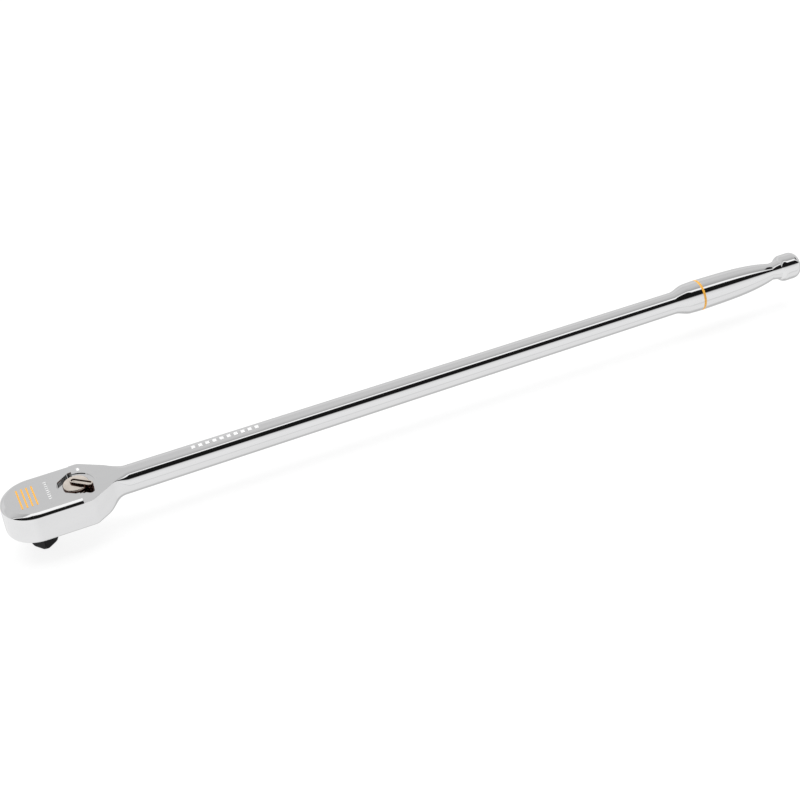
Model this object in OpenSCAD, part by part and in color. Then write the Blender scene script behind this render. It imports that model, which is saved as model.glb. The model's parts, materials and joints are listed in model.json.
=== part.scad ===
// Half-inch drive ratchet wrench, 610 mm long, with a reversing lever and stacked pawls.
// Millimetres. The origin is the centre of the square drive's end face, +X runs along the
// handle and +Z points to the lever side.

/* [Square drive] */
// Width of the square drive across its flats
drive_size = 12.7; // [12.6:0.05:12.8]
// Distance from the end of the square to the underside of the head
drive_length = 17.4; // [16:0.1:19]
// Half of the distance across the rounded corners of the square
drive_corner_r = 8.8; // [8.1:0.05:8.9]
// Angle that the square stands at, from the handle
square_turn = 37; // [0:1:90]
// Radius of the ball that holds a socket
socket_ball_r = 2; // [1.8:0.1:2.2]
// Distance from the end of the square to the middle of the ball
socket_ball_height = 7.9; // [7:0.1:9]

/* [Head] */
// Radius of the round end of the head
head_r = 22; // [21.5:0.1:22.5]
// Height of the head, from its underside to its raised top
head_height = 22.1; // [22:0.05:22.6]
// Drop from the raised top to the flat of the neck
neck_drop = 1.8; // [1.2:0.1:2]
// Distance from the drive axis to the pivot of the lever
lever_x = 28; // [27.8:0.1:28.4]
// Radius of the pocket that the lever turns in
pocket_r = 12.3; // [11.9:0.1:12.6]
// Radius of the rounded upper rim of the head
top_rim_r = 2.8; // [2:0.1:3]
// Radius of the rounded lower rim of the head
bottom_rim_r = 2; // [1:0.1:2]

/* [Handle] */
// Distance from the end of the head to the end of the handle
total_length = 610; // [560:1:640]
// Width of the shaft beside the head
shaft_width = 19; // [18:0.1:19.4]
// Height of the shaft beside the head
shaft_height = 17.4; // [16.4:0.1:17.5]
// Diameter of the shaft where the grip begins
shaft_end_d = 16.5; // [16:0.1:18]
// Largest diameter of the grip
grip_d = 23.1; // [22:0.1:25]
// Diameter of the waist between the grip and the end knob
waist_d = 12.9; // [12:0.1:15]
// Diameter of the end knob
knob_d = 19.9; // [18:0.1:22]
// Width of the coloured band round the grip
band_width = 1.9; // [1:0.1:2.4]

/* [Ratchet mechanism] */
// Number of teeth on the gear
gear_teeth = 60; // [56:4:64]
// Radius of the gear over its teeth
gear_r = 16.5; // [16.4:0.05:16.6]
// Depth of the teeth
tooth_depth = 0.72; // [0.7:0.01:0.74]
// Angle that the lever swings between its two stops
lever_swing = 84; // [80:1:86]
// Angle that the upper pawl rocks to each side of its middle position
pawl_rock = 6; // [6:0.1:6.2]

/* [Hidden] */
$fn = 64;

run_gap = 0.05;
eps = 0.1;

// Heights of the head, from the drive's end face
head_bottom = drive_length;
head_top = head_bottom + head_height;
neck_top = head_top - neck_drop;
pocket_floor = head_top - 2.3;
lever_disc_top = pocket_floor + 2;
pocket_stop_angle = 128;
pocket_stop_r = 11.1;
roof = head_bottom + 15.6;
cover_top = head_bottom + 2.5;

// Neck and shaft
neck_angle = 34;
neck_corner_r = 6;
neck_blend_r = 8;
neck_corner_x = 32;
shaft_z = head_bottom + 11.5;
shaft_corner_r = 8;
neck_end_x = neck_corner_x + neck_corner_r * sin(neck_angle) + neck_blend_r * sin(neck_angle)
  + (head_r - shaft_width / 2 - (neck_corner_r + neck_blend_r) * (1 - cos(neck_angle)))
  / tan(neck_angle);
nose_slope = 18;
nose_x = 46;

// Stations along the handle
end_x = total_length - head_r;
knob_length = 18.5;
waist_x = end_x - 24;
crown_x = end_x - 88;
swell_x = crown_x - 9;
swell_r = grip_d / 2 - 0.3;
grip_x = crown_x - 22;
groove_depth = 0.5;

// Gear, pawls and lever
gear_bottom = cover_top + 0.1;
gear_top = roof - 0.7;
gear_pitch = 360 / gear_teeth;
upper_hub_r = 8;
lower_hub_r = 11;
pin = [19, 0];
pin_r = 1.2;
pawl_outer_r = 23.6;
pawl_half_width = 12.5;
pawl_side_slope = 0.84;
pawl_relief = 6.4;
lower_pawl_rest = 0.6;
pawl_height = 5.4;
lower_pawl_z = cover_top + 0.6;
upper_pawl_z = lower_pawl_z + pawl_height + 0.3;
tab_angle = -lever_swing / 2;
lever_shaft_r = 4.5;
lever_journal_r = 3;
lever_disc_r = 8.6;
plunger_r = 1.3;
plunger_reach = 6.25;
plunger_tail = 1.5;
plunger_bore_end = -3;
clip_z = upper_pawl_z + pawl_height + 0.3;
clip_thickness = 0.6;
seal_groove_r = 3.9;
detent_ball_r = 0.8;
detent_radius = 6.2;
detent_angle = tab_angle + 180;
detent_ball_z = pocket_floor + 0.25;
screw_places = [[23.5, 16.4], [23.5, -16.4], [38.5, 0]];
screw_head_r = 2.7;
screw_r = 1.5;
screw_core_r = 1.3;
ball_side = square_turn + 90;
ball_stand = 0.9;
ball_seat = drive_size / 2 - socket_ball_r + ball_stand;

// Points of an arc about [cx, cy]
function arc(cx, cy, r, start, end, steps = 8) =
  [for (i = [0:steps]) let (a = start + (end - start) * i / steps)
    [cx + r * cos(a), cy + r * sin(a)]];

function mirrored(points) =
  [for (i = [len(points) - 1:-1:0]) [-points[i][0], points[i][1]]];

// Half of the head's cross-section, from the middle of its underside to the middle of its top
function head_half_section() = concat(
  [[0, head_bottom]],
  arc(head_r - bottom_rim_r, head_bottom + bottom_rim_r, bottom_rim_r, -90, 0, 6),
  arc(head_r - top_rim_r, head_top - top_rim_r, top_rim_r, 0, 90, 6),
  [[0, head_top]]
);

// One side of the neck's outline, from the lever's pivot to the shaft
function neck_side() =
  let (corner_y = head_r - neck_corner_r, blend_y = shaft_width / 2 + neck_blend_r)
  concat(
    [[lever_x, head_r]],
    arc(neck_corner_x, corner_y, neck_corner_r, 90, 90 - neck_angle, 5),
    arc(neck_end_x, blend_y, neck_blend_r, 270 - neck_angle, 270, 5)
  );

function smooth(t) = (1 - cos(180 * t)) / 2;

// Radius of the handle at x, from the end of the shaft to the waist
function grip_radius(x) =
  x < swell_x
    ? shaft_end_d / 2 + (swell_r - shaft_end_d / 2) * smooth((x - grip_x) / (swell_x - grip_x))
  : x < crown_x
    ? swell_r + (grip_d / 2 - swell_r) * sin(90 * (x - swell_x) / (crown_x - swell_x))
  : let (t = (x - crown_x) / (waist_x - crown_x), drop = (grip_d - waist_d) / 2)
    grip_d / 2 - drop * (0.18 * t + 0.82 * pow(t, 3.6));

function grip_profile() =
  let (knob_r = knob_d / 2, knob_x = end_x - knob_length, front_r = 2.6, back_r = 6.6)
  concat(
    [[grip_x, 0]],
    [for (i = [0:12]) let (x = grip_x + (swell_x - grip_x) * i / 12) [x, grip_radius(x)]],
    [for (i = [1:4]) let (x = swell_x + (crown_x - swell_x) * i / 4) [x, grip_radius(x)]],
    [for (i = [1:20]) let (x = crown_x + (waist_x - crown_x) * i / 20) [x, grip_radius(x)]],
    [[knob_x, waist_d / 2 + 1]],
    arc(knob_x + front_r, knob_r - front_r, front_r, 150, 90, 5),
    arc(end_x - back_r, knob_r - back_r, back_r, 90, 0, 8),
    [[end_x, 0]]
  );

// A gear outline with one tooth on the +X axis, grown by gap all round
module gear_outline(gap = 0) {
  tip = 0.35 + gap * 2.4;
  root = 0.35 - gap * 0.6;
  tip_r = gear_r + gap;
  root_r = gear_r - tooth_depth + gap;
  tip_half = tip / 2 / gear_r * 180 / PI;
  root_half = gear_pitch / 2 - root / 2 / gear_r * 180 / PI;
  polygon([for (i = [0:gear_teeth - 1], p = [
    [root_r, -root_half], [tip_r, -tip_half], [tip_r, tip_half], [root_r, root_half]
  ]) p[0] * [cos(i * gear_pitch + p[1]), sin(i * gear_pitch + p[1])]]);
}

module about_pin(angle) {
  translate(pin) rotate(angle) translate(-pin) children();
}

// A pawl's outline in its middle position; phase turns the gear that its teeth fit and rock is
// how far it turns to each side while the lever swings
module pawl_outline(phase, rock) {
  difference() {
    intersection() {
      circle(pawl_outer_r);
      translate([6, -pawl_half_width]) square([24, 2 * pawl_half_width]);
      polygon([[0, 0], [30, -pawl_side_slope * 30], [30, pawl_side_slope * 30]]);
    }
    for (side = [-1, 1]) intersection() {
      about_pin(side * pawl_rock) rotate(phase) gear_outline(0.04);
      translate([0, side > 0 ? -30 : 0]) square([30, 30]);
    }
    intersection() {
      circle(gear_r + 0.9);
      translate([0, -pawl_relief]) square([30, 2 * pawl_relief]);
    }
    translate([lever_x, 0]) circle(lever_shaft_r + 1.2);
    for (s = [-1:0.25:1]) about_pin(s * rock) translate([lever_x, 0])
      rotate(180 + s * lever_swing / 2) translate([plunger_reach - plunger_r, 0])
        circle(plunger_r + 0.08);
    translate(pin) circle(pin_r + run_gap);
  }
}

module ring(inner_r, outer_r, height) {
  difference() {
    cylinder(r = outer_r, h = height);
    translate([0, 0, -eps]) cylinder(r = inner_r, h = height + 2 * eps);
  }
}

// A compression spring from z = 0 to z = height
module coil_spring(radius, wire_r, height, turns, steps = 12, sides = 6) {
  count = turns * steps;
  rise = (height - 2 * wire_r) / count;
  points = [for (i = [0:count], j = [0:sides - 1])
    let (a = i * 360 / steps, b = j * 360 / sides, r = radius + wire_r * cos(b))
    [r * cos(a), r * sin(a), wire_r + i * rise + wire_r * sin(b)]];
  skin = [for (i = [0:count - 1], j = [0:sides - 1], upper = [false, true])
    let (k = (j + 1) % sides, here = i * sides, next = here + sides)
    upper ? [here + j, next + j, next + k] : [here + j, next + k, here + k]];
  first = [for (j = [0:sides - 1]) j];
  last = [for (j = [sides - 1:-1:0]) count * sides + j];
  polyhedron(points, concat(skin, [first], [last]));
}

module screw_shape(gap = 0) {
  head_height = screw_head_r - screw_r;
  translate([0, 0, head_bottom])
    cylinder(r1 = screw_head_r + gap, r2 = screw_r + gap, h = head_height);
  translate([0, 0, head_bottom + head_height - eps])
    cylinder(r = screw_r + gap, h = cover_top - head_bottom - head_height + eps);
}

// The plate's outline: a disc round the drive that narrows to the screw behind the lever
module cover_outline(gap = 0) {
  disc_r = 19.4 + gap;
  ear_r = 3.5 + gap;
  tail_r = 4.6 + gap;
  ear = screw_places[0];
  tail = screw_places[2];
  ear_dist = norm(ear);
  ear_dir = atan2(ear[1], ear[0]);
  ear_tangent = ear_dir + acos((disc_r - ear_r) / ear_dist);
  tail_dir = atan2(tail[1] - ear[1], tail[0] - ear[0]);
  tail_tangent = tail_dir + acos((ear_r - tail_r) / norm(tail - ear));
  upper = concat(
    arc(0, 0, disc_r, 180, ear_tangent, 16),
    arc(ear[0], ear[1], ear_r, ear_tangent, tail_tangent, 6),
    arc(tail[0], tail[1], tail_r, tail_tangent, 0, 6)
  );
  lower = [for (i = [len(upper) - 2:-1:1]) [upper[i][0], -upper[i][1]]];
  polygon(concat(upper, lower));
}

module cavity_outline() {
  circle(gear_r + 0.9);
  intersection() {
    circle(pawl_outer_r + 1.6);
    translate([4, -15.8]) square([24, 31.6]);
  }
  translate([lever_x, 0]) circle(6.7);
}

module along_x() {
  rotate([90, 0, 90]) children();
}

// One corner of the shaft's section: a rounded rectangle at blend = 0 and a circle at blend = 1
function shaft_corner(quarter, blend) =
  let (
    side_x = (quarter == 0 || quarter == 3 ? 1 : -1) * (shaft_width / 2 - shaft_corner_r),
    side_y = (quarter < 2 ? 1 : -1) * (shaft_height / 2 - shaft_corner_r),
    flat = arc(side_x, side_y, shaft_corner_r, 90 * quarter, 90 * quarter + 90, 6),
    round = arc(0, 0, shaft_end_d / 2 - 0.05, 90 * quarter + 6, 90 * quarter + 84, 6)
  )
  [for (i = [0:len(flat) - 1]) (1 - blend) * flat[i] + blend * round[i]];

function shaft_ring(x, blend) =
  [for (quarter = [0:3], p = shaft_corner(quarter, blend)) [x, p[0], p[1] + shaft_z]];

module head_forging() {
  rotate_extrude(angle = 180, start = 90) polygon(head_half_section());
  along_x() linear_extrude(lever_x)
    polygon(concat(head_half_section(), mirrored(head_half_section())));
}

module neck_forging() {
  side = neck_side();
  other_side = [for (i = [len(side) - 1:-1:0]) [side[i][0], -side[i][1]]];
  difference() {
    translate([0, 0, head_bottom]) linear_extrude(neck_top - head_bottom)
      polygon(concat(side, other_side));
    translate([nose_x, 0, head_bottom]) rotate([0, -nose_slope, 0])
      translate([0, -30, -20]) cube([40, 60, 20]);
  }
}

module shaft_forging() {
  first = shaft_ring(neck_end_x - 4, 0);
  last = shaft_ring(grip_x + 0.3, 1);
  n = len(first);
  sides = [for (i = [0:n - 1], upper = [false, true]) let (k = (i + 1) % n)
    upper ? [i, n + k, k] : [i, n + i, n + k]];
  polyhedron(
    concat(first, last),
    concat(sides, [[for (i = [0:n - 1]) i]], [[for (i = [n - 1:-1:0]) n + i]])
  );
}

module grip_forging() {
  difference() {
    translate([0, 0, shaft_z]) rotate([0, 90, 0]) rotate_extrude()
      polygon([for (p = grip_profile()) [p[1], p[0]]]);
    translate([crown_x - band_width / 2, 0, shaft_z]) rotate([0, 90, 0])
      ring(grip_d / 2 - groove_depth, grip_d, band_width);
  }
}

// The lever's pocket: a circle with two straight walls towards the drive
module pocket_outline() {
  intersection() {
    circle(pocket_r);
    intersection_for (side = [-1, 1]) rotate(side * pocket_stop_angle)
      translate([pocket_stop_r - 40, -20]) square([40, 40]);
  }
}

// Everything that is machined out of the head
module head_cuts() {
  translate([0, 0, cover_top - eps]) linear_extrude(roof - cover_top + eps) cavity_outline();
  translate([0, 0, head_bottom - eps]) linear_extrude(cover_top - head_bottom + eps)
    cover_outline(run_gap);
  translate([0, 0, roof - eps]) cylinder(r = upper_hub_r + run_gap, h = 3.6 + eps);
  translate([lever_x, 0, roof - eps])
    cylinder(r = lever_shaft_r + run_gap, h = pocket_floor - roof + 2 * eps);
  translate([lever_x, 0, pocket_floor]) linear_extrude(10) pocket_outline();
  translate([lever_x, 0, detent_ball_z])
    rotate_extrude(angle = lever_swing + 24, start = detent_angle - 12)
      translate([detent_radius, 0]) circle(detent_ball_r + run_gap);
  translate([pin[0], pin[1], roof - eps]) cylinder(r = pin_r, h = 1.2 + eps);
  for (p = screw_places)
    translate([p[0], p[1], cover_top - eps]) cylinder(r = screw_core_r, h = 6.5 + eps);
}

module ratchet_body() {
  color("gainsboro") union() {
    difference() {
      union() {
        head_forging();
        neck_forging();
        shaft_forging();
      }
      head_cuts();
    }
    grip_forging();
  }
}

module grip_band() {
  color("orange") translate([crown_x - band_width / 2, 0, shaft_z]) rotate([0, 90, 0])
    ring(grip_d / 2 - groove_depth, grip_d / 2 + 0.05, band_width);
}

module cover_plate() {
  color("silver") difference() {
    translate([0, 0, head_bottom]) linear_extrude(cover_top - head_bottom) cover_outline();
    translate([0, 0, head_bottom - eps])
      cylinder(r = lower_hub_r + run_gap, h = cover_top - head_bottom + 2 * eps);
    for (p = screw_places) translate([p[0], p[1], 0]) screw_shape(run_gap);
    translate([pin[0], pin[1], cover_top - 1.5]) cylinder(r = pin_r, h = 3);
    translate([lever_x, 0, cover_top - 1]) cylinder(r = lever_journal_r + run_gap, h = 3);
  }
}

module cover_screws() {
  color("dimgray") for (p = screw_places) translate([p[0], p[1], 0]) difference() {
    union() {
      screw_shape();
      translate([0, 0, cover_top - eps]) cylinder(r = screw_core_r, h = 6 + eps);
    }
    translate([0, 0, head_bottom - eps]) cylinder(r = 1.15, h = 1.2 + eps, $fn = 6);
  }
}

module ball_bore() {
  translate([0, 0, socket_ball_height]) rotate([0, 90, ball_side])
    translate([0, 0, -drive_size / 2 + 2])
      cylinder(r = socket_ball_r + run_gap, h = drive_size);
}

module square_drive() {
  chamfer = 1.4;
  difference() {
    intersection() {
      translate([0, 0, (head_bottom + eps) / 2]) rotate(ball_side)
        cube([drive_size, drive_size, head_bottom + eps], center = true);
      union() {
        cylinder(r1 = drive_corner_r - chamfer, r2 = drive_corner_r, h = chamfer);
        translate([0, 0, chamfer - 0.01]) cylinder(r = drive_corner_r, h = head_bottom);
      }
    }
    ball_bore();
  }
}

module drive_gear() {
  color("#1c1c1e") difference() {
    union() {
      square_drive();
      translate([0, 0, head_bottom]) cylinder(r = lower_hub_r, h = gear_bottom - head_bottom + eps);
      translate([0, 0, gear_bottom]) linear_extrude(gear_top - gear_bottom) gear_outline();
      translate([0, 0, gear_top - eps]) cylinder(r = upper_hub_r, h = roof + 3.4 - gear_top + eps);
    }
    translate([0, 0, head_bottom + 0.8]) ring(lower_hub_r - 0.75, lower_hub_r + 1, 0.9);
  }
}

module thrust_washer() {
  color("goldenrod") translate([0, 0, gear_top + 0.05]) ring(upper_hub_r + 0.2, 14, 0.6);
}

module drive_seal() {
  color("#202020") translate([0, 0, head_bottom + 1.25]) rotate_extrude()
    translate([lower_hub_r - 0.36, 0]) circle(0.36);
}

module upper_pawl() {
  color("slategray") translate([0, 0, upper_pawl_z]) about_pin(pawl_rock)
    linear_extrude(pawl_height) pawl_outline(0, pawl_rock);
}

module lower_pawl() {
  color("slategray") translate([0, 0, lower_pawl_z]) about_pin(lower_pawl_rest)
    linear_extrude(pawl_height) pawl_outline(gear_pitch / 2, lower_pawl_rest);
}

module pawl_pin() {
  color("silver") translate([pin[0], pin[1], cover_top - 1.4])
    cylinder(r = pin_r, h = roof - cover_top + 1.4 + 1.1);
}

// Places a plunger, its bore or its spring; its own +Z then points at the pawls
module plunger_place(height) {
  translate([lever_x, 0, height]) rotate([0, 90, tab_angle + 180]) children();
}

upper_plunger_z = upper_pawl_z + pawl_height / 2;
lower_plunger_z = lower_pawl_z + pawl_height / 2;

module lever_tab() {
  tab_r = 2.45;
  tab_bottom = neck_top + 0.4;
  hull() for (x = [-1.3, 10.5]) translate([x, 0, tab_bottom])
    cylinder(r = tab_r, h = head_top + 1.7 - tab_bottom, $fn = 32);
}

module reverse_lever() {
  disc_bottom = pocket_floor + run_gap;
  color("lightgray") translate([lever_x, 0, 0]) difference() {
    union() {
      translate([0, 0, cover_top - 0.9]) cylinder(r = lever_journal_r, h = 1.9);
      translate([0, 0, cover_top + 0.4])
        cylinder(r = lever_shaft_r, h = disc_bottom - cover_top - 0.4 + eps);
      translate([0, 0, disc_bottom])
        cylinder(r = lever_disc_r, h = lever_disc_top - disc_bottom);
      rotate(tab_angle) lever_tab();
    }
    for (z = [upper_plunger_z, lower_plunger_z])
      translate([-lever_x, 0, 0]) plunger_place(z)
        translate([0, 0, plunger_bore_end]) cylinder(r = plunger_r + run_gap, h = 12);
    translate([0, 0, clip_z]) ring(seal_groove_r, 8, clip_thickness);
    translate([0, 0, roof + 0.7]) ring(seal_groove_r, lever_shaft_r + 0.02, 0.8);
    rotate(detent_angle) translate([detent_radius, 0, disc_bottom - eps])
      cylinder(r = detent_ball_r + run_gap, h = 1.5 + eps);
  }
}

module lever_seal() {
  color("#202020") translate([lever_x, 0, roof + 1.1]) rotate_extrude()
    translate([seal_groove_r + 0.3, 0]) circle(0.3);
}

module lever_clip() {
  color("silver") translate([lever_x, 0, clip_z]) difference() {
    ring(seal_groove_r, 6, clip_thickness);
    rotate(tab_angle) translate([0, -2.6, -eps]) cube([8, 5.2, 1]);
  }
}

module plunger(height) {
  plunger_place(height) {
    translate([0, 0, plunger_tail])
      cylinder(r = plunger_r, h = plunger_reach - plunger_r - plunger_tail);
    translate([0, 0, plunger_reach - plunger_r]) sphere(plunger_r);
  }
}

module plunger_spring(height) {
  plunger_place(height) translate([0, 0, plunger_bore_end + 0.02])
    coil_spring(0.95, 0.2, plunger_tail - plunger_bore_end - 0.04, 5);
}

module upper_plunger() {
  color("silver") plunger(upper_plunger_z);
}

module lower_plunger() {
  color("silver") plunger(lower_plunger_z);
}

module upper_plunger_spring() {
  color("gray") plunger_spring(upper_plunger_z);
}

module lower_plunger_spring() {
  color("gray") plunger_spring(lower_plunger_z);
}

module detent_place() {
  translate([lever_x, 0, 0]) rotate(detent_angle) translate([detent_radius, 0, 0]) children();
}

module lever_detent_ball() {
  color("silver") detent_place() translate([0, 0, detent_ball_z]) sphere(detent_ball_r);
}

module lever_detent_spring() {
  color("gray") detent_place() translate([0, 0, detent_ball_z + 0.64])
    coil_spring(0.55, 0.08, 0.6, 2);
}

module socket_ball() {
  color("silver") rotate(ball_side) translate([ball_seat, 0, socket_ball_height])
    sphere(socket_ball_r);
}

module socket_ball_spring() {
  bore_end = -drive_size / 2 + 2;
  touch = ball_seat - 1.6;
  color("gray") translate([0, 0, socket_ball_height]) rotate([0, 90, ball_side])
    translate([0, 0, bore_end + 0.02]) coil_spring(1.1, 0.22, touch - bore_end, 5);
}

ratchet_body();
grip_band();
cover_plate();
cover_screws();
drive_gear();
thrust_washer();
drive_seal();
upper_pawl();
lower_pawl();
pawl_pin();
reverse_lever();
lever_seal();
lever_clip();
upper_plunger();
lower_plunger();
upper_plunger_spring();
lower_plunger_spring();
lever_detent_ball();
lever_detent_spring();
socket_ball();
socket_ball_spring();
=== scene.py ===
"""A half-inch drive ratchet wrench: plated forging, thumb lever, black drive and its mechanism."""

import json
import math

import bmesh
import bpy
from bpy.props import FloatProperty, FloatVectorProperty, IntProperty, PointerProperty
from mathutils import Matrix, Vector


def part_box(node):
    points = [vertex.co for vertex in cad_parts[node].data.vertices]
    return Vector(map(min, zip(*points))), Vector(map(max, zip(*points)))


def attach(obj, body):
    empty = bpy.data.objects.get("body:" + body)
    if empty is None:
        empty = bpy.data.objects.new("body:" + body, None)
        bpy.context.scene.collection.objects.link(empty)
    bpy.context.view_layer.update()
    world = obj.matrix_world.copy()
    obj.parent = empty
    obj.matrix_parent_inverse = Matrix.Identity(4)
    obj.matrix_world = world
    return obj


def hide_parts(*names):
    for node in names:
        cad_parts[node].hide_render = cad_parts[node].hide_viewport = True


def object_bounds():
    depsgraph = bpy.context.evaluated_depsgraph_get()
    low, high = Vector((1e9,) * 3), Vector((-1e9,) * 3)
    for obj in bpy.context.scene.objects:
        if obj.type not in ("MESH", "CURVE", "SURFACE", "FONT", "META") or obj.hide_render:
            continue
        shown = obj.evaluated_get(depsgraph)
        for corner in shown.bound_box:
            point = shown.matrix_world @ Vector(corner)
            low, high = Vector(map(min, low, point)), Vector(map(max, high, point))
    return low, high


bl_info = {
    "name": "Ratchet Wrench Maker",
    "version": (1, 0, 0),
    "blender": (4, 5, 0),
    "location": "View3D > Sidebar > Ratchet",
    "description": "Makes a long-handled ratchet wrench from its forging, lever and mechanism",
    "category": "Add Mesh",
}

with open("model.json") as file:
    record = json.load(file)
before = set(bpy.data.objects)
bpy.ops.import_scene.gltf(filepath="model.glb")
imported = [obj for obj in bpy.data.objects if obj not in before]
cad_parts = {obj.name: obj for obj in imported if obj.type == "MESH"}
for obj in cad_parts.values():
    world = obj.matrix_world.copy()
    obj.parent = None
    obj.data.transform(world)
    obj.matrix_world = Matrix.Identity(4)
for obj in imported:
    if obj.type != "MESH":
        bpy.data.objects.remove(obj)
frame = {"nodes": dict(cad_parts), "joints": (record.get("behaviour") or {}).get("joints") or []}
cad_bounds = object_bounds()
MM = 0.001
JOINTS = {joint["name"]: joint for joint in frame["joints"]}
BODY_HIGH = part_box("ratchet_body")[1]
BAND_LOW, BAND_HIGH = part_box("grip_band")
COVER_LOW, COVER_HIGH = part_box("cover_plate")
DRIVE_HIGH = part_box("drive_gear")[1]
LEVER_LOW, LEVER_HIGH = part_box("reverse_lever")
PIVOT = Vector(JOINTS["lever_swing"]["pos_m"])
COVER_EAR = (23.5 * MM, 16.4 * MM)
COVER_TAIL = (38.5 * MM, 0.0)
GEAR_ROOM_RADIUS = 17.4 * MM
PAWL_ROOM_SIDE = 15.8 * MM
PAWL_ROOM_REACH = 25.2 * MM
LEVER_ROOM_RADIUS = 6.7 * MM
HUB_BORE_RADIUS = 8.05 * MM
LEVER_BORE_RADIUS = 4.55 * MM
POCKET_STOP = 11.1 * MM
POCKET_STOP_ANGLES = (128, -128)
HUB_STAND = 3.4 * MM
GEAR_TO_HUB_TOP = 4.1 * MM
BALL_HEIGHT = 7.9 * MM
BALL_BORE_RADIUS = 2.05 * MM
PLUNGER_BORE_RADIUS = 1.35 * MM
SEAT_RADIUS = 0.85 * MM
SEAT_REACH = 6.2 * MM
TOOTH_DEPTH = 0.72 * MM
TOOTH_TIP = 0.175 * MM
# how far the top of the shaft falls for each millimetre along it
SHAFT_FALL = 0.00108


# ---------------------------------------------------------------- sizes and colours

class ForgingSizes(bpy.types.PropertyGroup):
    head_radius: FloatProperty(
        name="Head radius", description="Radius of the head's round end",
        default=BODY_HIGH.y, unit="LENGTH")
    head_height: FloatProperty(
        name="Head height", description="Height of the head, from its underside to its raised top",
        default=22.1 * MM, unit="LENGTH")
    bevel: FloatProperty(
        name="Bevel", description="Width of the crowned bevel round the head's top, up its slope",
        default=4.8 * MM, unit="LENGTH")
    bottom_rim: FloatProperty(
        name="Bottom rim", description="Radius of the head's rounded lower rim",
        default=2.0 * MM, unit="LENGTH")
    neck_drop: FloatProperty(
        name="Neck drop", description="Drop from the raised top to the neck's flat",
        default=1.8 * MM, unit="LENGTH")
    pocket_radius: FloatProperty(
        name="Pocket radius", description="Radius of the pocket that holds the lever",
        default=12.3 * MM, unit="LENGTH")
    pocket_depth: FloatProperty(
        name="Pocket depth", description="Depth of the lever's pocket below the raised top",
        default=2.3 * MM, unit="LENGTH")
    shaft_width: FloatProperty(
        name="Shaft width", description="Width of the shaft beside the head",
        default=19.0 * MM, unit="LENGTH")
    shaft_height: FloatProperty(
        name="Shaft height", description="Height of the shaft beside the head",
        default=17.4 * MM, unit="LENGTH")
    shaft_corner: FloatProperty(
        name="Shaft corner", description="Radius of the shaft's long edges beside the head",
        default=8.0 * MM, unit="LENGTH")
    shaft_end: FloatProperty(
        name="Shaft end", description="Radius of the shaft where the grip begins",
        default=8.25 * MM, unit="LENGTH")
    grip_radius: FloatProperty(
        name="Grip radius", description="Largest radius of the grip",
        default=BAND_HIGH.y - 0.05 * MM, unit="LENGTH")
    waist_radius: FloatProperty(
        name="Waist radius", description="Smallest radius, between the grip and the knob",
        default=6.45 * MM, unit="LENGTH")
    knob_radius: FloatProperty(
        name="Knob radius", description="Radius of the knob at the handle's end",
        default=9.95 * MM, unit="LENGTH")
    plate_colour: FloatVectorProperty(
        name="Plate", description="Colour of the chrome plate", subtype="COLOR",
        default=(0.80, 0.80, 0.805), size=3, min=0, max=1)
    band_colour: FloatVectorProperty(
        name="Band", description="Colour of the enamel band", subtype="COLOR",
        default=(0.93, 0.47, 0.06), size=3, min=0, max=1)


class LeverSizes(bpy.types.PropertyGroup):
    disc_radius: FloatProperty(
        name="Disc radius", description="Radius of the lever's disc",
        default=8.6 * MM, unit="LENGTH")
    tab_width: FloatProperty(
        name="Tab width", description="Width of the thumb tab", default=4.9 * MM, unit="LENGTH")
    tab_back: FloatProperty(
        name="Tab back", description="Reach of the tab behind the pivot",
        default=3.75 * MM, unit="LENGTH")
    tab_front: FloatProperty(
        name="Tab front", description="Reach of the tab in front of the pivot",
        default=12.95 * MM, unit="LENGTH")
    rest_angle: FloatProperty(
        name="Rest angle", description="Where the tab points when the lever rests",
        default=math.radians(-42), subtype="ANGLE")


class DriveSizes(bpy.types.PropertyGroup):
    square: FloatProperty(
        name="Square", description="Width of the square across its flats",
        default=12.7 * MM, unit="LENGTH")
    turn: FloatProperty(
        name="Turn", description="Angle of the square at rest",
        default=math.radians(37), subtype="ANGLE")
    corner_radius: FloatProperty(
        name="Corner radius", description="Half of the distance across the square's corners",
        default=8.8 * MM, unit="LENGTH")
    gear_radius: FloatProperty(
        name="Gear radius", description="Radius of the gear over its teeth",
        default=16.5 * MM, unit="LENGTH")
    teeth: IntProperty(name="Teeth", description="Number of teeth on the gear", default=60)


# ---------------------------------------------------------------- mesh helpers

def make_object(name, mesh):
    piece = bpy.data.objects.new(name, mesh)
    bpy.context.scene.collection.objects.link(piece)
    return piece


def mesh_from(name, points, faces):
    mesh = bpy.data.meshes.new(name)
    mesh.from_pydata([tuple(p) for p in points], [], faces)
    bm = bmesh.new()
    bm.from_mesh(mesh)
    bmesh.ops.remove_doubles(bm, verts=bm.verts, dist=1e-7)
    bmesh.ops.dissolve_degenerate(bm, edges=bm.edges, dist=1e-7)
    bmesh.ops.recalc_face_normals(bm, faces=bm.faces)
    bm.to_mesh(mesh)
    bm.free()
    return mesh


def skin_rings(name, rings, cap_first=True, cap_last=True):
    """A closed mesh through rings that all have the same number of points."""
    count = len(rings[0])
    points = [p for ring in rings for p in ring]
    faces = []
    for k in range(len(rings) - 1):
        for m in range(count):
            n = (m + 1) % count
            faces.append((k * count + m, k * count + n, (k + 1) * count + n, (k + 1) * count + m))
    if cap_first:
        faces.append(tuple(reversed(range(count))))
    if cap_last:
        faces.append(tuple((len(rings) - 1) * count + m for m in range(count)))
    return mesh_from(name, points, faces)


def revolve(name, profile, segments=96, place=Matrix.Identity(4)):
    """A closed mesh from a profile of (radius, height) pairs turned about Z."""
    rings = []
    for radius, height in profile:
        rings.append([
            place @ Vector((radius * math.cos(2 * math.pi * i / segments),
                            radius * math.sin(2 * math.pi * i / segments), height))
            for i in range(segments)])
    return skin_rings(name, rings)


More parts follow.
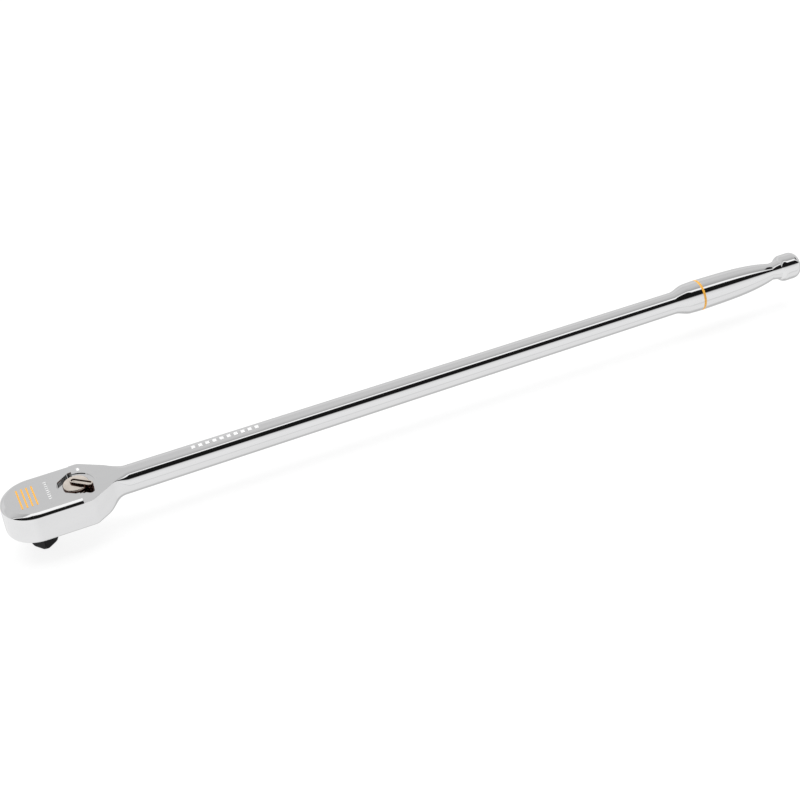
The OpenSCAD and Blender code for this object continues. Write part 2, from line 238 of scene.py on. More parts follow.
def corner(cx, cy, radius, start, end, steps):
    """Points of an arc, angles in degrees."""
    angles = [math.radians(start + (end - start) * i / steps) for i in range(steps + 1)]
    return [(cx + radius * math.cos(a), cy + radius * math.sin(a)) for a in angles]


def smooth(t):
    t = min(max(t, 0.0), 1.0)
    return t * t * (3 - 2 * t)


def blend(a, b, t):
    return a + (b - a) * t


def span(start, end, steps):
    return [start + (end - start) * i / steps for i in range(steps + 1)]


def cut(piece, cutter, operation="DIFFERENCE"):
    """Cuts one mesh with another and removes the cutter."""
    modifier = piece.modifiers.new("cut", "BOOLEAN")
    modifier.operation = operation
    modifier.object = cutter
    modifier.solver = "EXACT"
    bake(piece)
    bpy.data.objects.remove(cutter)


def bake(piece):
    """Turns a piece's modifiers into plain mesh."""
    graph = bpy.context.evaluated_depsgraph_get()
    mesh = bpy.data.meshes.new_from_object(piece.evaluated_get(graph), depsgraph=graph)
    mesh.name = piece.name
    piece.modifiers.clear()
    piece.data = mesh


def finish_shading(piece, angle=32):
    """Smooth shading that keeps flats flat and edges over the angle sharp."""
    mesh = piece.data
    mesh.shade_smooth()
    mesh.set_sharp_from_angle(angle=math.radians(angle))
    weighted = piece.modifiers.new("weighted", "WEIGHTED_NORMAL")
    weighted.keep_sharp = True
    weighted.weight = 60
    bake(piece)


def dress(piece, body, material, slot, *replaced):
    """Gives a finished piece its material and body and hides the CAD nodes it stands for; the
    record slot it is handed is not used.
    """
    piece.data.materials.clear()
    piece.data.materials.append(material)
    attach(piece, body)
    if replaced:
        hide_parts(*replaced)


# ---------------------------------------------------------------- materials

class Nodes:
    """A short way to wire a material's nodes."""

    def __init__(self, name):
        self.material = bpy.data.materials.get(name) or bpy.data.materials.new(name)
        self.material.use_nodes = True
        self.tree = self.material.node_tree
        self.shader = self.tree.nodes["Principled BSDF"]
        self.place = self.add("ShaderNodeTexCoord").outputs["Object"]

    def add(self, kind, **values):
        node = self.tree.nodes.new(kind)
        for key, value in values.items():
            setattr(node, key, value)
        return node

    def link(self, source, target):
        self.tree.links.new(source, target)

    def stretched(self, scale):
        mapping = self.add("ShaderNodeMapping")
        mapping.inputs["Scale"].default_value = scale
        self.link(self.place, mapping.inputs["Vector"])
        return mapping.outputs["Vector"]

    def noise(self, scale, detail=3.0, rough=0.55, stretch=(1, 1, 1)):
        node = self.add("ShaderNodeTexNoise")
        node.inputs["Scale"].default_value = scale
        node.inputs["Detail"].default_value = detail
        node.inputs["Roughness"].default_value = rough
        self.link(self.stretched(stretch), node.inputs["Vector"])
        return node.outputs["Fac"]

    def ranged(self, source, low, high, start=0.3, end=0.7):
        node = self.add("ShaderNodeMapRange")
        node.inputs["From Min"].default_value = start
        node.inputs["From Max"].default_value = end
        node.inputs["To Min"].default_value = low
        node.inputs["To Max"].default_value = high
        self.link(source, node.inputs["Value"])
        return node.outputs["Result"]

    def two_tone(self, source, first, second):
        node = self.add("ShaderNodeMix", data_type="RGBA")
        node.inputs["A"].default_value = (*first, 1)
        node.inputs["B"].default_value = (*second, 1)
        self.link(source, node.inputs["Factor"])
        return node.outputs["Result"]

    def bump(self, source, strength, depth):
        node = self.add("ShaderNodeBump")
        node.inputs["Strength"].default_value = strength
        node.inputs["Distance"].default_value = depth
        self.link(source, node.inputs["Height"])
        self.link(node.outputs["Normal"], self.shader.inputs["Normal"])

    def coat(self, colour, second, mix, rough_low, rough_high, rough_source):
        """Two tones mixed by one pattern, and a roughness that follows another."""
        self.link(self.two_tone(mix, colour, second), self.shader.inputs["Base Color"])
        self.link(self.ranged(rough_source, rough_low, rough_high),
                  self.shader.inputs["Roughness"])
        return self.material

    def metal(self, *values):
        self.shader.inputs["Metallic"].default_value = 1.0
        return self.coat(*values)


MADE = {}


def finish(maker):
    """The material that maker makes, built once."""
    if maker not in MADE:
        MADE[maker] = maker()
    return MADE[maker]


def scaled(colour, factor):
    return tuple(min(1.0, c * factor) for c in colour)


def chrome_plate():
    """Mirror chrome with faint polishing haze along the handle."""
    look = Nodes("chrome_plate")
    colour = tuple(bpy.context.scene.forging_sizes.plate_colour)
    haze = look.noise(140, 4, 0.6, (0.15, 1, 1))
    look.bump(look.noise(420, 2, 0.5, (0.3, 1, 1)), 0.04, 0.00002)
    return look.metal(colour, scaled(colour, 0.94), haze, 0.035, 0.085, look.noise(60, 5, 0.6))


def lever_chrome():
    """Warm plate on a small casting, with painted light: brighter on faces that turn up, as a
    painted highlight, and painted dark brown down its walls, as painted shade and reflection.
    """
    look = Nodes("lever_chrome")
    look.bump(look.noise(900, 3, 0.5), 0.08, 0.00003)
    split = look.add("ShaderNodeSeparateXYZ")
    look.link(look.add("ShaderNodeNewGeometry").outputs["Normal"], split.inputs[0])
    # painted light: the normal's height mixes the colour, so faces that turn up get the bright warm
    # tone as a painted highlight and the walls get the dark brown below as painted shade and
    # reflection
    painted_light_by_facing = look.ranged(split.outputs["Z"], 0, 1, 0.25, 0.8)
    cloud = look.ranged(look.noise(260, 4, 0.6), 0, 1)
    bright = look.two_tone(cloud, (0.90, 0.82, 0.74), (0.78, 0.70, 0.62))
    mix = look.add("ShaderNodeMix", data_type="RGBA")
    mix.inputs["A"].default_value = (0.10, 0.045, 0.035, 1)
    look.link(bright, mix.inputs["B"])
    look.link(painted_light_by_facing, mix.inputs["Factor"])
    look.link(mix.outputs["Result"], look.shader.inputs["Base Color"])
    look.shader.inputs["Metallic"].default_value = 1.0
    look.link(look.ranged(look.noise(300, 3, 0.5), 0.08, 0.16), look.shader.inputs["Roughness"])
    return look.material


def black_oxide():
    """Oiled black oxide over ground steel."""
    look = Nodes("black_oxide")
    patch = look.noise(220, 5, 0.65)
    look.bump(look.noise(1500, 4, 0.6, (1, 1, 0.3)), 0.12, 0.00003)
    look.shader.inputs["Specular IOR Level"].default_value = 0.08
    return look.coat((0.003, 0.003, 0.0035), (0.007, 0.007, 0.0075), look.ranged(patch, 0, 1),
                     0.32, 0.5, patch)


def ground_steel():
    """Steel with fine grinding lines along the tool."""
    look = Nodes("ground_steel")
    lines = look.noise(900, 3, 0.7, (0.04, 1, 1))
    look.bump(lines, 0.15, 0.00003)
    return look.metal((0.50, 0.505, 0.51), (0.40, 0.405, 0.41), lines, 0.22, 0.38, lines)


def hardened_steel():
    look = Nodes("hardened_steel")
    patch = look.noise(500, 4, 0.6)
    look.bump(look.noise(2500, 3, 0.6), 0.15, 0.00003)
    return look.metal((0.20, 0.205, 0.22), (0.13, 0.13, 0.14), patch, 0.3, 0.45, patch)


def polished_steel():
    look = Nodes("polished_steel")
    patch = look.noise(700, 3, 0.5)
    return look.metal((0.62, 0.625, 0.63), (0.55, 0.555, 0.56), patch, 0.08, 0.16, patch)


def spring_wire():
    look = Nodes("spring_wire")
    patch = look.noise(1800, 3, 0.6)
    look.bump(patch, 0.1, 0.00002)
    return look.metal((0.34, 0.34, 0.35), (0.24, 0.24, 0.25), patch, 0.2, 0.34, patch)


def bronze():
    look = Nodes("bronze")
    patch = look.noise(400, 4, 0.6)
    look.bump(look.noise(1800, 3, 0.6), 0.1, 0.00002)
    return look.metal((0.55, 0.36, 0.16), (0.44, 0.28, 0.12), patch, 0.25, 0.4, patch)


def seal_rubber():
    look = Nodes("seal_rubber")
    patch = look.noise(1500, 4, 0.6)
    look.bump(patch, 0.2, 0.00003)
    return look.coat((0.012, 0.012, 0.012), (0.028, 0.027, 0.026), patch, 0.45, 0.65, patch)


def band_enamel():
    """Orange enamel of the band and the head's stripes."""
    look = Nodes("band_enamel")
    colour = tuple(bpy.context.scene.forging_sizes.band_colour)
    patch = look.noise(600, 3, 0.5)
    look.bump(look.noise(1200, 2, 0.5), 0.08, 0.00002)
    return look.coat(colour, scaled(colour, 0.88), patch, 0.25, 0.4, patch)


def etched_white():
    """The frosted white of laser marks in chrome."""
    look = Nodes("etched_white")
    patch = look.noise(2500, 3, 0.6)
    look.bump(patch, 0.3, 0.00003)
    return look.coat((0.93, 0.93, 0.93), (0.80, 0.80, 0.80), patch, 0.5, 0.75, patch)


# ---------------------------------------------------------------- the forging

ARC_STEPS = 14
SIDE_STEPS = 4


def section_profile(bottom_radius, top_radius, bottom, top):
    """(inset from the side, height) pairs up one side, from the flat underside to the flat top."""
    lower = corner(-bottom_radius, bottom + bottom_radius, bottom_radius, -90, 0, ARC_STEPS)
    upper = corner(-top_radius, top - top_radius, top_radius, 0, 90, ARC_STEPS)
    side_low, side_high = lower[-1][1], upper[0][1]
    side = [(0.0, z) for z in span(side_low, side_high, SIDE_STEPS)[1:-1]]
    return [(-x, z) for x, z in lower + side + upper]


def bevel_profile(bottom_radius, bevel, bottom, top):
    """Like section_profile, with a crowned bevel in place of the upper rim."""
    lower = corner(-bottom_radius, bottom + bottom_radius, bottom_radius, -90, 0, ARC_STEPS)
    # share of the bevel's width, steps, and how far its face leans at the start and the end
    bends = ((0.05, 4, 0, 29), (0.45, 3, 29, 33), (0.40, 4, 34, 57), (0.10, 3, 57, 90))
    upper = [(0.0, 0.0)]
    for share, steps, start, end in bends:
        for k in range(steps):
            lean = math.radians(blend(start, end, (k + 0.5) / steps))
            x, z = upper[-1]
            step = bevel * share / steps
            upper.append((x + step * math.cos(lean), z - step * math.sin(lean)))
    side_x = upper[-1][0]
    upper = [(x - side_x, top + z) for x, z in reversed(upper)]
    side = [(0.0, z) for z in span(lower[-1][1], upper[0][1], SIDE_STEPS)[1:-1]]
    return [(-x, z) for x, z in lower + side + upper]


def ring_at(edge, normal, profile):
    """A closed ring across the tool: up the +Y side and down the -Y side."""
    far = [Vector((edge[0] - d * normal[0], edge[1] - d * normal[1], z)) for d, z in profile]
    near = [Vector((p.x, -p.y, p.z)) for p in reversed(far)]
    top = Vector((far[-1].x, 0, far[-1].z))
    bottom = Vector((far[0].x, 0, far[0].z))
    return far + [top] + near + [bottom]


def neck_half_width(x, sizes):
    """Half of the neck's width: round shoulder, straight flank, then a hollow blend."""
    slope = math.radians(34)
    shoulder_x, shoulder_r, hollow_r = 32 * MM, 6 * MM, 8 * MM
    r, w = sizes.head_radius, sizes.shaft_width / 2
    flank_start = shoulder_x + shoulder_r * math.sin(slope)
    drop = r - w - (shoulder_r + hollow_r) * (1 - math.cos(slope))
    flank_end = flank_start + drop / math.tan(slope)
    hollow_x = flank_end + hollow_r * math.sin(slope)
    if x < shoulder_x:
        return r
    if x < flank_start:
        return r - shoulder_r + math.sqrt(shoulder_r ** 2 - (x - shoulder_x) ** 2)
    if x < flank_end:
        return r - shoulder_r * (1 - math.cos(slope)) - (x - flank_start) * math.tan(slope)
    if x < hollow_x:
        return w + hollow_r - math.sqrt(hollow_r ** 2 - (hollow_x - x) ** 2)
    return w


def handle_stations():
    """Named places along the handle."""
    end = BODY_HIGH.x
    crown = (BAND_LOW.x + BAND_HIGH.x) / 2
    return {"end": end, "waist": end - 24 * MM, "crown": crown, "swell": crown - 9 * MM,
            "grip": crown - 22 * MM, "knob": end - 18.5 * MM, "shaft": 62 * MM}


def grip_profile(sizes):
    """(x, radius) pairs from the shaft's end to the middle of the knob's end face."""
    at = handle_stations()
    swell_r = sizes.grip_radius - 0.3 * MM
    groove = 0.22 * MM
    profile = []
    for x in span(at["grip"], at["swell"], 18):
        t = (x - at["grip"]) / (at["swell"] - at["grip"])
        profile.append((x, blend(sizes.shaft_end, swell_r, (1 - math.cos(math.pi * t)) / 2)))
    for x in span(at["swell"], BAND_LOW.x, 9)[1:]:
        t = (x - at["swell"]) / (at["crown"] - at["swell"])
        profile.append((x, blend(swell_r, sizes.grip_radius, math.sin(math.pi / 2 * t))))
    crown_r = profile[-1][1]
    profile += [(BAND_LOW.x, crown_r - groove), (BAND_HIGH.x, crown_r - groove)]
    for x in span(BAND_HIGH.x, at["waist"] - 1.2 * MM, 44):
        t = (x - at["crown"]) / (at["waist"] - at["crown"])
        drop = (sizes.grip_radius - sizes.waist_radius) * (0.18 * t + 0.82 * t ** 3.6)
        profile.append((x, sizes.grip_radius - drop))
    # a small hollow turns the grip's end into the back of the knob
    hollow_x, hollow_r = profile[-1]
    front, back = 5.0 * MM, 6.6 * MM
    front_arc = corner(at["knob"] + 0.3 * MM + front, sizes.knob_radius - front, front,
                       150, 90, 10)
    start = Vector((hollow_x, hollow_r))
    stop = Vector(front_arc[0])
    middle = Vector((at["waist"] + 1.0 * MM, sizes.waist_radius - 0.55 * MM))
    for t in span(0, 1, 14)[1:-1]:
        p = (1 - t) ** 2 * start + 2 * t * (1 - t) * middle + t * t * stop
        profile.append((p.x, p.y))
    profile += front_arc
    profile += [(x, r) for x, r in corner(
        at["end"] - back, sizes.knob_radius - back, back, 90, 12, 14)]
    dome_x, dome_r = profile[-1]
    for t in span(0, 1, 5)[1:]:
        profile.append((blend(dome_x, at["end"], math.sin(math.pi / 2 * t)), dome_r * (1 - t)))
    return profile


def forging_rings(sizes):
    bottom, top = COVER_LOW.z, COVER_LOW.z + sizes.head_height
    neck_top = top - sizes.neck_drop
    at = handle_stations()
    centre = (BAND_LOW.z + BAND_HIGH.z) / 2
    head = bevel_profile(sizes.bottom_rim, sizes.bevel, bottom, top)
    rings = []
    for angle in span(180, 90, 36):
        a = math.radians(angle)
        normal = (math.cos(a), math.sin(a))
        rings.append(ring_at((sizes.head_radius * normal[0], sizes.head_radius * normal[1]),
                             normal, head))
    for x in span(0, PIVOT.x, 12)[1:]:
        rings.append(ring_at((x, sizes.head_radius), (0, 1), head))
    edge = 0.18 * MM
    for x in span(PIVOT.x + 0.06 * MM, at["shaft"], 68):
        half = neck_half_width(x, sizes)
        drop_t = smooth((x - 45 * MM) / (13 * MM))
        run_out = smooth((x - 49 * MM) / (13 * MM))
        lower = blend(bottom, centre - sizes.shaft_height / 2, drop_t)
        upper = blend(neck_top, centre + sizes.shaft_height / 2, run_out)
        lower_r = blend(sizes.bottom_rim, sizes.shaft_corner, smooth((x - 42 * MM) / (14 * MM)))
        upper_r = blend(edge, sizes.shaft_corner, run_out)
        rings.append(ring_at((x, half), (0, 1),
                             section_profile(lower_r, upper_r, lower, upper)))
    for x in span(at["shaft"], at["grip"], 60)[1:-1]:
        t = (x - at["shaft"]) / (at["grip"] - at["shaft"])
        half = blend(sizes.shaft_width / 2, sizes.shaft_end, t)
        tall = blend(sizes.shaft_height / 2, sizes.shaft_end, t)
        radius = blend(sizes.shaft_corner, sizes.shaft_end - 0.02 * MM, t ** 1.5)
        rings.append(ring_at((x, half), (0, 1),
                             section_profile(radius, radius, centre - tall, centre + tall)))
    for x, r in grip_profile(sizes):
        radius = max(r * 0.998, 1e-6)
        rings.append(ring_at((x, r), (0, 1),
                             section_profile(radius, radius, centre - r, centre + r)))
    return rings


def disc_cutter(name, radius, low, high, x=0.0):
    """A cylinder to cut with."""
    return make_object(name, revolve(name, [(radius, low), (radius, high)], 128,
                                     Matrix.Translation((x, 0, 0))))


def prism_cutter(name, outline, low, high):
    rings = [[Vector((x, y, z)) for x, y in outline] for z in (low, high)]
    return make_object(name, skin_rings(name, rings))


def pocket_cutter(radius, low, high):
    """The lever's pocket: a circle with two straight walls towards the drive."""
    outline = []
    for i in range(180):
        angle = 2 * math.pi * i / 180
        reach = radius
        for stop in POCKET_STOP_ANGLES:
            facing = math.cos(angle - math.radians(stop))
            if facing > 0:
                reach = min(reach, POCKET_STOP / facing)
        outline.append((PIVOT.x + reach * math.cos(angle), reach * math.sin(angle)))
    return prism_cutter("pocket", outline, low, high)


def cover_outline(gap):
    """The cover's outline: a disc that narrows past two ears to a tail."""
    ear, tail = COVER_EAR, COVER_TAIL
    disc_r, ear_r, tail_r = 19.4 * MM + gap, 3.5 * MM + gap, 4.6 * MM + gap
    ear_dist = math.hypot(*ear)
    first = math.degrees(math.atan2(ear[1], ear[0]) + math.acos((disc_r - ear_r) / ear_dist))
    dx, dy = tail[0] - ear[0], tail[1] - ear[1]
    second = math.degrees(math.atan2(dy, dx) + math.acos((ear_r - tail_r) / math.hypot(dx, dy)))
    upper = (corner(0, 0, disc_r, 180, first, 40) + corner(*ear, ear_r, first, second, 14)
             + corner(*tail, tail_r, second, 0, 14))
    return upper + [(x, -y) for x, y in reversed(upper[1:-1])]


class RATCHET_OT_forging(bpy.types.Operator):
    """Makes the plated forging: head, neck, shaft, grip and end knob"""
    bl_idname = "ratchet.forging"
    bl_label = "Forging"

    def execute(self, context):
        sizes = context.scene.forging_sizes
        piece = make_object("forging", skin_rings("forging", forging_rings(sizes)))
        top = COVER_LOW.z + sizes.head_height
        floor = top - sizes.pocket_depth
        neck_top = top - sizes.neck_drop
        roof = DRIVE_HIGH.z - HUB_STAND
        cut(piece, prism_cutter("recess", cover_outline(0.05 * MM),
                                COVER_LOW.z - 2 * MM, COVER_HIGH.z))
        cut(piece, disc_cutter("gear_room", GEAR_ROOM_RADIUS, COVER_HIGH.z - 1 * MM, roof))
        side = math.degrees(math.asin(PAWL_ROOM_SIDE / PAWL_ROOM_REACH))
        cut(piece, prism_cutter("pawl_room", [(4 * MM, PAWL_ROOM_SIDE), (4 * MM, -PAWL_ROOM_SIDE)]
                                + corner(0, 0, PAWL_ROOM_REACH, -side, side, 30),
                                COVER_HIGH.z - 1 * MM, roof))
        cut(piece, disc_cutter("lever_room", LEVER_ROOM_RADIUS, COVER_HIGH.z - 1 * MM, roof,
                               PIVOT.x))
        cut(piece, disc_cutter("hub_bore", HUB_BORE_RADIUS, roof - 1 * MM,
                               DRIVE_HIGH.z + 0.2 * MM))
        cut(piece, disc_cutter("lever_bore", LEVER_BORE_RADIUS, roof - 1 * MM,
                               floor + 1 * MM, PIVOT.x))
        cut(piece, pocket_cutter(sizes.pocket_radius, floor, top + 3 * MM))
        finish_shading(piece)
        dress(piece, "handle", finish(chrome_plate), "chrome_body", "ratchet_body")
        return {"FINISHED"}


class RATCHET_OT_band(bpy.types.Operator):
    """Makes the enamel band that fills the groove round the grip"""
    bl_idname = "ratchet.band"
    bl_label = "Grip band"

    def execute(self, context):
        radius = context.scene.forging_sizes.grip_radius
        half = (BAND_HIGH.x - BAND_LOW.x) / 2
        centre_z = (BAND_LOW.z + BAND_HIGH.z) / 2
        crown = [(radius - 0.02 * MM + 0.06 * MM * math.cos(math.pi / 2 * t), half * t)
                 for t in span(-1, 1, 8)]
        profile = [(radius - 0.45 * MM, -half)] + crown + [(radius - 0.45 * MM, half)]
        place = (Matrix.Translation(((BAND_LOW.x + BAND_HIGH.x) / 2, 0, centre_z))
                 @ Matrix.Rotation(math.pi / 2, 4, "Y"))
        rings = [[place @ Vector((r * math.cos(a), r * math.sin(a), z)) for r, z in profile]
                 for a in span(0, 2 * math.pi, 128)]
        piece = make_object("band", skin_rings("band", rings, False, False))
        finish_shading(piece)
        dress(piece, "handle", finish(band_enamel), "orange_band", "grip_band")
        return {"FINISHED"}


# ---------------------------------------------------------------- the lever

def stadium(back, front, radius, inset, height, steps=20):
    """A long round-ended outline along +X, drawn in by inset."""
    r = radius - inset
    points = (corner(front - radius, 0, r, -90, 90, steps)
              + corner(radius - back, 0, r, 90, 270, steps))
    return [Vector((x, y, height)) for x, y in points]


class RATCHET_OT_lever(bpy.types.Operator):
    """Makes the reversing lever: shaft, round disc and dished thumb tab"""
    bl_idname = "ratchet.lever"
    bl_label = "Reversing lever"

    def execute(self, context):
        sizes = context.scene.lever_sizes
        forging = context.scene.forging_sizes
        turn = Matrix.Translation((PIVOT.x, 0, 0)) @ Matrix.Rotation(sizes.rest_angle, 4, "Z")
        top = COVER_LOW.z + forging.head_height
        floor = top - forging.pocket_depth + 0.05 * MM
        low, high = LEVER_LOW.z, LEVER_HIGH.z
        disc_top = floor + 1.95 * MM
        r = sizes.disc_radius
        clip_low, clip_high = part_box("lever_clip")
        seal_low, seal_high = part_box("lever_seal")
        shaft, journal, groove = 4.5 * MM, 3.0 * MM, 3.9 * MM
        profile = [(journal - 0.3 * MM, low), (journal, low + 0.3 * MM),
                   (journal, low + 1.3 * MM), (shaft, low + 1.3 * MM),
                   (shaft, clip_low.z), (groove, clip_low.z), (groove, clip_high.z),
                   (shaft, clip_high.z), (shaft, seal_low.z - 0.1 * MM),
                   (groove, seal_low.z - 0.1 * MM), (groove, seal_high.z + 0.1 * MM),
                   (shaft, seal_high.z + 0.1 * MM), (shaft, floor),
                   (r - 0.25 * MM, floor), (r, floor + 0.25 * MM)]
        rim = 1.3 * MM
        profile += corner(r - rim, disc_top - rim, rim, 0, 80, 12)
        edge_r, edge_z = profile[-1]
        crown = disc_top + 0.35 * MM
        profile += [(edge_r * (1 - t), blend(edge_z, crown, math.sin(math.pi / 2 * t)))
                    for t in span(0, 1, 8)[1:-1]]
        disc = make_object("lever", revolve("lever", profile, 96, turn))
        for node in ("upper_plunger", "lower_plunger"):
            box_low, box_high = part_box(node)
            bore = (turn @ Matrix.Translation((0, 0, (box_low.z + box_high.z) / 2))
                    @ Matrix.Rotation(-math.pi / 2, 4, "Y"))
            cutter = revolve("bore", [(PLUNGER_BORE_RADIUS, -3 * MM),
                                      (PLUNGER_BORE_RADIUS, 8 * MM)], 40, bore)
            cut(disc, make_object("bore", cutter))
        seat = turn @ Matrix.Translation((-SEAT_REACH, 0, 0))
        cut(disc, make_object("seat", revolve("seat", [(SEAT_RADIUS, floor - 1 * MM),
                                                       (SEAT_RADIUS, floor + 1.5 * MM)], 32, seat)))
        half, back, front = sizes.tab_width / 2, sizes.tab_back, sizes.tab_front
        under = top - forging.neck_drop + 0.4 * MM
        levels = [(0.25, under), (0.0, under + 0.25 * MM), (0.0, high - 0.45 * MM)]
        levels += [(0.45 * (1 - math.cos(a)), high - 0.45 * MM + 0.45 * MM * math.sin(a))
                   for a in span(0, math.pi / 2, 6)[1:]]
        levels += [(0.80, high), (0.92, high - 0.05 * MM), (1.0, high - 0.2 * MM),
                   (1.08, high - 0.8 * MM), (1.22, high - 1.3 * MM), (1.6, high - 1.55 * MM),
                   (2.3, high - 1.6 * MM)]
        rings = [[turn @ p for p in stadium(back, front, half, inset * MM, height)]
                 for inset, height in levels]
        tab = make_object("tab", skin_rings("tab", rings))
        cut(disc, tab, "UNION")
        finish_shading(disc)
        dress(disc, "lever", finish(lever_chrome), "lever_chrome", "reverse_lever")
        return {"FINISHED"}


# ---------------------------------------------------------------- drive and mechanism

def square_outline(half, corner_radius, turn, count=288):
    """A square with its corners turned down, as (x, y) points."""
    points = []
    for i in range(count):
        angle = 2 * math.pi * i / count
        reach = min(half / max(abs(math.cos(angle)), abs(math.sin(angle))), corner_radius)
        points.append((reach * math.cos(angle + turn), reach * math.sin(angle + turn)))
    return points


def gear_outline(radius, teeth):
    """Teeth with narrow tips, one of them on the +X axis."""
    pitch = 2 * math.pi / teeth
    root = radius - TOOTH_DEPTH
    tip_half, root_half = TOOTH_TIP / radius, pitch / 2 - TOOTH_TIP / radius
    corners = ((root, -root_half), (radius, -tip_half), (radius, tip_half), (root, root_half))
    return [(r * math.cos(i * pitch + a), r * math.sin(i * pitch + a))
            for i in range(teeth) for r, a in corners]


class RATCHET_OT_drive(bpy.types.Operator):
    """Makes the black drive: ground square, bearing hubs and toothed gear"""
    bl_idname = "ratchet.drive"
    bl_label = "Drive gear"

    def execute(self, context):
        sizes = context.scene.drive_sizes
        low, high = COVER_LOW.z, DRIVE_HIGH.z
        gear_low, gear_high = COVER_HIGH.z + 0.1 * MM, high - GEAR_TO_HUB_TOP
        half = sizes.square / 2
        rings = []
        for inset, drop, z in ((0.9, 2.7, 0.0), (0.4, 2.0, 0.2), (0.15, 1.4, 0.6),
                               (0.0, 0.9, 1.1), (0.0, 0.45, 1.8), (0.0, 0.15, 2.6),
                               (0.0, 0.0, 3.4)):
            rings.append([Vector((x, y, z * MM)) for x, y in square_outline(
                half - inset * MM, sizes.corner_radius - drop * MM, sizes.turn)])
        rings.append([Vector((x, y, low + 0.6 * MM)) for x, y in square_outline(
            half, sizes.corner_radius, sizes.turn)])
        piece = make_object("drive", skin_rings("drive", rings))
        side = (Matrix.Translation((0, 0, BALL_HEIGHT))
                @ Matrix.Rotation(sizes.turn + math.pi / 2, 4, "Z")
                @ Matrix.Rotation(math.pi / 2, 4, "Y"))
        cut(piece, make_object("ball_bore", revolve(
            "ball_bore", [(BALL_BORE_RADIUS, 2 * MM - half), (BALL_BORE_RADIUS, 9 * MM)],
            48, side)))
        hub = [(10.8 * MM, low), (11 * MM, low + 0.2 * MM), (11 * MM, low + 0.8 * MM),
               (10.25 * MM, low + 0.8 * MM), (10.25 * MM, low + 1.7 * MM),
               (11 * MM, low + 1.7 * MM), (11 * MM, gear_low + 0.05 * MM)]
        cut(piece, make_object("hub", revolve("hub", hub, 128)), "UNION")
        outline = gear_outline(sizes.gear_radius, sizes.teeth)
        cut(piece, prism_cutter("gear", outline, gear_low, gear_high), "UNION")
        upper = [(8 * MM, gear_high - 0.05 * MM), (8 * MM, high - 0.3 * MM), (7.7 * MM, high)]
        cut(piece, make_object("upper_hub", revolve("upper_hub", upper, 96)), "UNION")
        finish_shading(piece)
        dress(piece, "drive", finish(black_oxide), "drive_black", "drive_gear")
        return {"FINISHED"}


# ---------------------------------------------------------------- node-made pieces

def node_tree(name, sockets):
    """An empty geometry tree with its sockets, and helpers to add and link its nodes."""
    tree = bpy.data.node_groups.new(name, "GeometryNodeTree")
    tree.interface.new_socket("Geometry", in_out="INPUT", socket_type="NodeSocketGeometry")
    tree.interface.new_socket("Geometry", in_out="OUTPUT", socket_type="NodeSocketGeometry")
    for label, kind in sockets:
        tree.interface.new_socket(label, in_out="INPUT", socket_type=kind)
    return tree, tree.nodes.new("NodeGroupInput"), tree.nodes.new("NodeGroupOutput")


def end_tree(tree, geometry, group_out, material):
    """Closes a tree with Realize Instances and Set Material."""
    real = tree.nodes.new("GeometryNodeRealizeInstances")
    paint = tree.nodes.new("GeometryNodeSetMaterial")
    paint.inputs["Material"].default_value = material
    tree.links.new(geometry, real.inputs[0])
    tree.links.new(real.outputs[0], paint.inputs["Geometry"])
    tree.links.new(paint.outputs[0], group_out.inputs[0])


def node_piece(name, points, tree, values):
    """A plain mesh made by a tree, its inputs set by identifier before it is evaluated."""
    mesh = bpy.data.meshes.new(name)
    mesh.from_pydata(points, [], [])
    piece = make_object(name, mesh)
    modifier = piece.modifiers.new("nodes", "NODES")
    modifier.node_group = tree
    sockets = {item.name: item.identifier for item in tree.interface.items_tree
               if item.in_out == "INPUT"}
    for label, value in values.items():
        modifier[sockets[label]] = value
    bake(piece)
    return piece


def mark_tree(material):
    """A bar on each point."""
    tree, group_in, group_out = node_tree("mark_rows", (("Bar size", "NodeSocketVector"),))
    bar = tree.nodes.new("GeometryNodeMeshCube")
    spread = tree.nodes.new("GeometryNodeInstanceOnPoints")
    tree.links.new(group_in.outputs["Bar size"], bar.inputs["Size"])
    tree.links.new(group_in.outputs["Geometry"], spread.inputs["Points"])
    tree.links.new(bar.outputs[0], spread.inputs["Instance"])
    end_tree(tree, spread.outputs[0], group_out, material)
    return tree


class RATCHET_OT_marks(bpy.types.Operator):
    """Makes plain bars where the head and shaft are marked"""
    bl_idname = "ratchet.marks"
    bl_label = "Marks"

    def execute(self, context):
        sizes = context.scene.forging_sizes
        top = COVER_LOW.z + sizes.head_height
        trees = {maker: mark_tree(finish(maker)) for maker in (band_enamel, etched_white)}
        centre = (BAND_LOW.z + BAND_HIGH.z) / 2
        shaft_top = centre + sizes.shaft_height / 2 - 0.05 * MM
        thick = 0.12 * MM
        stripes = [(x * MM, 0, top) for x in (-9.0, -5.7, -2.4, 0.9)]
        ticks = [(9.65 * MM, y * MM, top) for y in span(-8.5, 10, 8)]
        rungs = [(x * MM, 0, shaft_top - SHAFT_FALL * (x - 106) * MM) for x in span(108, 153, 9)]
        tick = [(33.0 * MM, 15.4 * MM, top - sizes.neck_drop)]
        rows = (("head_stripes", stripes, band_enamel, (1.1, 21.5), "orange_band"),
                ("neck_tick", tick, etched_white, (1.6, 3.0), "chrome_body"),
                ("head_ticks", ticks, etched_white, (1.9, 0.7), "chrome_body"),
                ("shaft_rungs", rungs, etched_white, (2.6, 3.0), "chrome_body"))
        for name, points, maker, (wide, deep), slot in rows:
            piece = node_piece(name, points, trees[maker],
                               {"Bar size": (wide * MM, deep * MM, thick)})
            dress(piece, "handle", finish(maker), slot)
        return {"FINISHED"}


